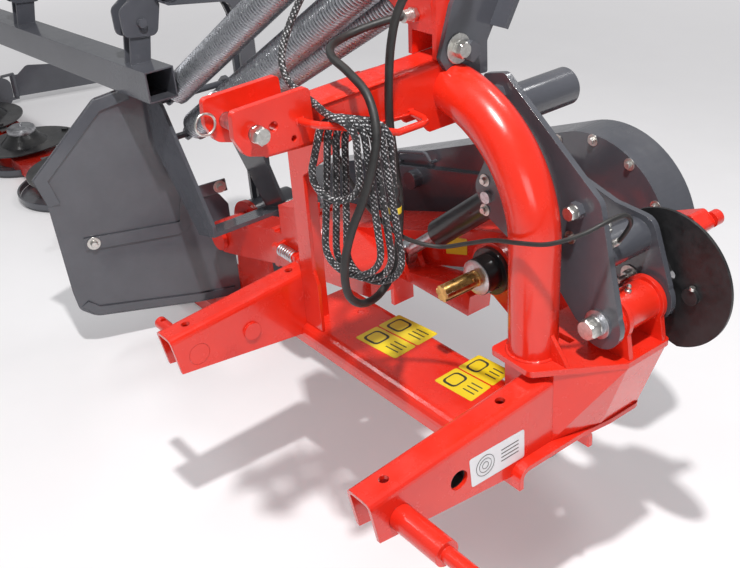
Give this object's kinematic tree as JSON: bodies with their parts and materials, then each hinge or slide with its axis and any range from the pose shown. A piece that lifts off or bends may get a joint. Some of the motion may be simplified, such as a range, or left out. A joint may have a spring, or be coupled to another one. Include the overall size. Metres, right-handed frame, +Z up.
{
  "type": "disc mower",
  "caption": "Rear mounted disc mower: red three-point headstock, swing arm with belt drive and lift springs, and a cutter bar with oval discs under a folding guard.",
  "frame": {"origin": "middle of the lower hitch pin axis, on the hitch centre plane", "axes": "+X to the tractor's left along the lower hitch pins, +Y rearward along the drive shaft, +Z up; the cutter bar lies toward -X and the ground is at z = -0.5 m"},
  "size_m": [4.3239, 1.2951, 1.51],
  "materials": {
    "red_paint": "gloss",
    "dark_paint": "gloss",
    "zinc": "satin",
    "black_plastic": "satin",
    "rubber": "matte",
    "black_paint": "gloss",
    "gold_steel": "satin",
    "blade_steel": "satin"
  },
  "bodies": {
    "headstock": {"hitch_arm_left": "red_paint", "hitch_arm_right": "red_paint", "hitch_pins": "red_paint", "crossbeam": "red_paint", "side_column": "red_paint", "pivot_plate": "red_paint", "arch_tube": "red_paint", "top_beam": "red_paint", "top_link_pin": "zinc", "left_leg": "red_paint", "hose_hanger": "red_paint", "mast": "red_paint", "mast_bracket": "dark_paint", "lift_brace": "dark_paint", "brace_pin": "zinc", "guard_disc": "black_plastic", "disc_bracket": "red_paint", "pivot_tube": "red_paint", "shaft_housing": "black_paint", "hose_hank": "black_plastic", "rubber_hose": "rubber", "thin_hose": "rubber"},
    "stand": {"stand_leg": "dark_paint"},
    "swing_arm": {"swing_box": "red_paint", "eye_arm": "red_paint", "belt_guard": "dark_paint", "belt_cover": "dark_paint", "v_belts": "rubber", "spring_bracket": "dark_paint"},
    "cylinder": {"lift_cylinder": "black_paint"},
    "rod": {"lift_rod": "zinc"},
    "spring_a": {"lift_spring_1": "zinc"},
    "spring_b": {"lift_spring_2": "zinc"},
    "spring_c": {"lift_spring_3": "zinc"},
    "shaft": {"drive_shaft": "gold_steel"},
    "pulley": {"lower_pulley": "zinc"},
    "deck": {"carrier_plate": "red_paint", "gearbox": "dark_paint", "cutter_bar": "red_paint", "skids": "dark_paint", "inner_panel": "dark_paint", "panel_stay": "dark_paint", "guard_tube": "dark_paint"},
    "guard": {"guard_front": "dark_paint"},
    "board": {"swath_board": "dark_paint"},
    "disc_1": {"disc_1": "black_paint"},
    "blade_1a": {"blade_1a": "blade_steel"},
    "blade_1b": {"blade_1b": "blade_steel"},
    "disc_2": {"disc_2": "black_paint"},
    "blade_2a": {"blade_2a": "blade_steel"},
    "blade_2b": {"blade_2b": "blade_steel"},
    "disc_3": {"disc_3": "black_paint"},
    "blade_3a": {"blade_3a": "blade_steel"},
    "blade_3b": {"blade_3b": "blade_steel"},
    "disc_4": {"disc_4": "black_paint"},
    "blade_4a": {"blade_4a": "blade_steel"},
    "blade_4b": {"blade_4b": "blade_steel"},
    "disc_5": {"disc_5": "black_paint"},
    "blade_5a": {"blade_5a": "blade_steel"},
    "blade_5b": {"blade_5b": "blade_steel"}
  },
  "joints": [
    {"name": "arm_swing", "type": "hinge", "parent": "headstock", "child": "swing_arm", "pos_m": [0, 0.65, 0.141], "axis": [0, 1, 0], "range_deg": [-10, 40]},
    {"name": "deck_tilt", "type": "hinge", "parent": "swing_arm", "child": "deck", "pos_m": [-1.063, 0.5, -0.152], "axis": [0, 1, 0], "range_deg": [-15, 5]},
    {"name": "cylinder_tilt", "type": "hinge", "parent": "headstock", "child": "cylinder", "pos_m": [0.053, 0.54, 0.341], "axis": [0, 1, 0], "range_deg": [-10, 32]},
    {"name": "rod_slide", "type": "slide", "parent": "cylinder", "child": "rod", "axis": [-0.7862, 0, -0.6179], "range_m": [-0.12, 0.035]},
    {"name": "spring_a_tilt", "type": "hinge", "parent": "headstock", "child": "spring_a", "pos_m": [-0.075, 0.403, 0.925], "axis": [0, 1, 0], "range_deg": [-12, 40], "deforming": ["lift_spring_1"]},
    {"name": "spring_b_tilt", "type": "hinge", "parent": "headstock", "child": "spring_b", "pos_m": [-0.075, 0.441, 0.804], "axis": [0, 1, 0], "range_deg": [-12, 40], "deforming": ["lift_spring_2"]},
    {"name": "spring_c_tilt", "type": "hinge", "parent": "headstock", "child": "spring_c", "pos_m": [-0.075, 0.53, 0.759], "axis": [0, 1, 0], "range_deg": [-12, 40], "deforming": ["lift_spring_3"]},
    {"name": "shaft_spin", "type": "hinge", "parent": "headstock", "child": "shaft", "pos_m": [0, 0.65, 0.141], "axis": [0, 1, 0], "continuous": true},
    {"name": "pulley_spin", "type": "hinge", "parent": "deck", "child": "pulley", "pos_m": [-1.063, 0.75, -0.152], "axis": [0, 1, 0], "continuous": true},
    {"name": "disc_1_spin", "type": "hinge", "parent": "deck", "child": "disc_1", "pos_m": [-1.545, 0.556, -0.42], "axis": [0, 0, 1], "continuous": true},
    {"name": "blade_1a_swing", "type": "hinge", "parent": "disc_1", "child": "blade_1a", "pos_m": [-1.355, 0.556, -0.42], "axis": [0, 0, 1], "continuous": true},
    {"name": "blade_1b_swing", "type": "hinge", "parent": "disc_1", "child": "blade_1b", "pos_m": [-1.735, 0.556, -0.42], "axis": [0, 0, 1], "continuous": true},
    {"name": "disc_2_spin", "type": "hinge", "parent": "deck", "child": "disc_2", "pos_m": [-2.027, 0.556, -0.42], "axis": [0, 0, 1], "continuous": true},
    {"name": "blade_2a_swing", "type": "hinge", "parent": "disc_2", "child": "blade_2a", "pos_m": [-2.027, 0.746, -0.42], "axis": [0, 0, 1], "continuous": true},
    {"name": "blade_2b_swing", "type": "hinge", "parent": "disc_2", "child": "blade_2b", "pos_m": [-2.027, 0.366, -0.42], "axis": [0, 0, 1], "continuous": true},
    {"name": "disc_3_spin", "type": "hinge", "parent": "deck", "child": "disc_3", "pos_m": [-2.509, 0.556, -0.42], "axis": [0, 0, 1], "continuous": true},
    {"name": "blade_3a_swing", "type": "hinge", "parent": "disc_3", "child": "blade_3a", "pos_m": [-2.319, 0.556, -0.42], "axis": [0, 0, 1], "continuous": true},
    {"name": "blade_3b_swing", "type": "hinge", "parent": "disc_3", "child": "blade_3b", "pos_m": [-2.699, 0.556, -0.42], "axis": [0, 0, 1], "continuous": true},
    {"name": "disc_4_spin", "type": "hinge", "parent": "deck", "child": "disc_4", "pos_m": [-2.991, 0.556, -0.42], "axis": [0, 0, 1], "continuous": true},
    {"name": "blade_4a_swing", "type": "hinge", "parent": "disc_4", "child": "blade_4a", "pos_m": [-2.991, 0.746, -0.42], "axis": [0, 0, 1], "continuous": true},
    {"name": "blade_4b_swing", "type": "hinge", "parent": "disc_4", "child": "blade_4b", "pos_m": [-2.991, 0.366, -0.42], "axis": [0, 0, 1], "continuous": true},
    {"name": "disc_5_spin", "type": "hinge", "parent": "deck", "child": "disc_5", "pos_m": [-3.473, 0.556, -0.42], "axis": [0, 0, 1], "continuous": true},
    {"name": "blade_5a_swing", "type": "hinge", "parent": "disc_5", "child": "blade_5a", "pos_m": [-3.283, 0.556, -0.42], "axis": [0, 0, 1], "continuous": true},
    {"name": "blade_5b_swing", "type": "hinge", "parent": "disc_5", "child": "blade_5b", "pos_m": [-3.663, 0.556, -0.42], "axis": [0, 0, 1], "continuous": true},
    {"name": "guard_fold", "type": "hinge", "parent": "deck", "child": "guard", "pos_m": [-1.12379, 0.34, 0.48355], "axis": [0.9988, 0, 0.0489], "range_deg": [-95, 0]},
    {"name": "board_swing", "type": "hinge", "parent": "deck", "child": "board", "pos_m": [-3.769, 0.814, -0.41], "axis": [0, 0, 1], "range_deg": [-20, 25]},
    {"name": "stand_slide", "type": "slide", "parent": "headstock", "child": "stand", "axis": [0, 0, 1], "range_m": [0, 0.3]}
  ],
  "couplings": [
    {"joint": "cylinder_tilt", "follows": "arm_swing", "ratio": 0.691},
    {"joint": "rod_slide", "follows": "arm_swing", "m_per_rad": -0.1505},
    {"joint": "spring_a_tilt", "follows": "arm_swing", "ratio": 0.881},
    {"joint": "spring_b_tilt", "follows": "arm_swing", "ratio": 0.928},
    {"joint": "spring_c_tilt", "follows": "arm_swing", "ratio": 0.963},
    {"joint": "disc_2_spin", "follows": "disc_1_spin", "ratio": -1},
    {"joint": "disc_3_spin", "follows": "disc_1_spin", "ratio": 1},
    {"joint": "disc_4_spin", "follows": "disc_1_spin", "ratio": -1},
    {"joint": "disc_5_spin", "follows": "disc_1_spin", "ratio": 1},
    {"joint": "pulley_spin", "follows": "disc_1_spin", "ratio": 0.4},
    {"joint": "shaft_spin", "follows": "disc_1_spin", "ratio": 0.1858}
  ]
}
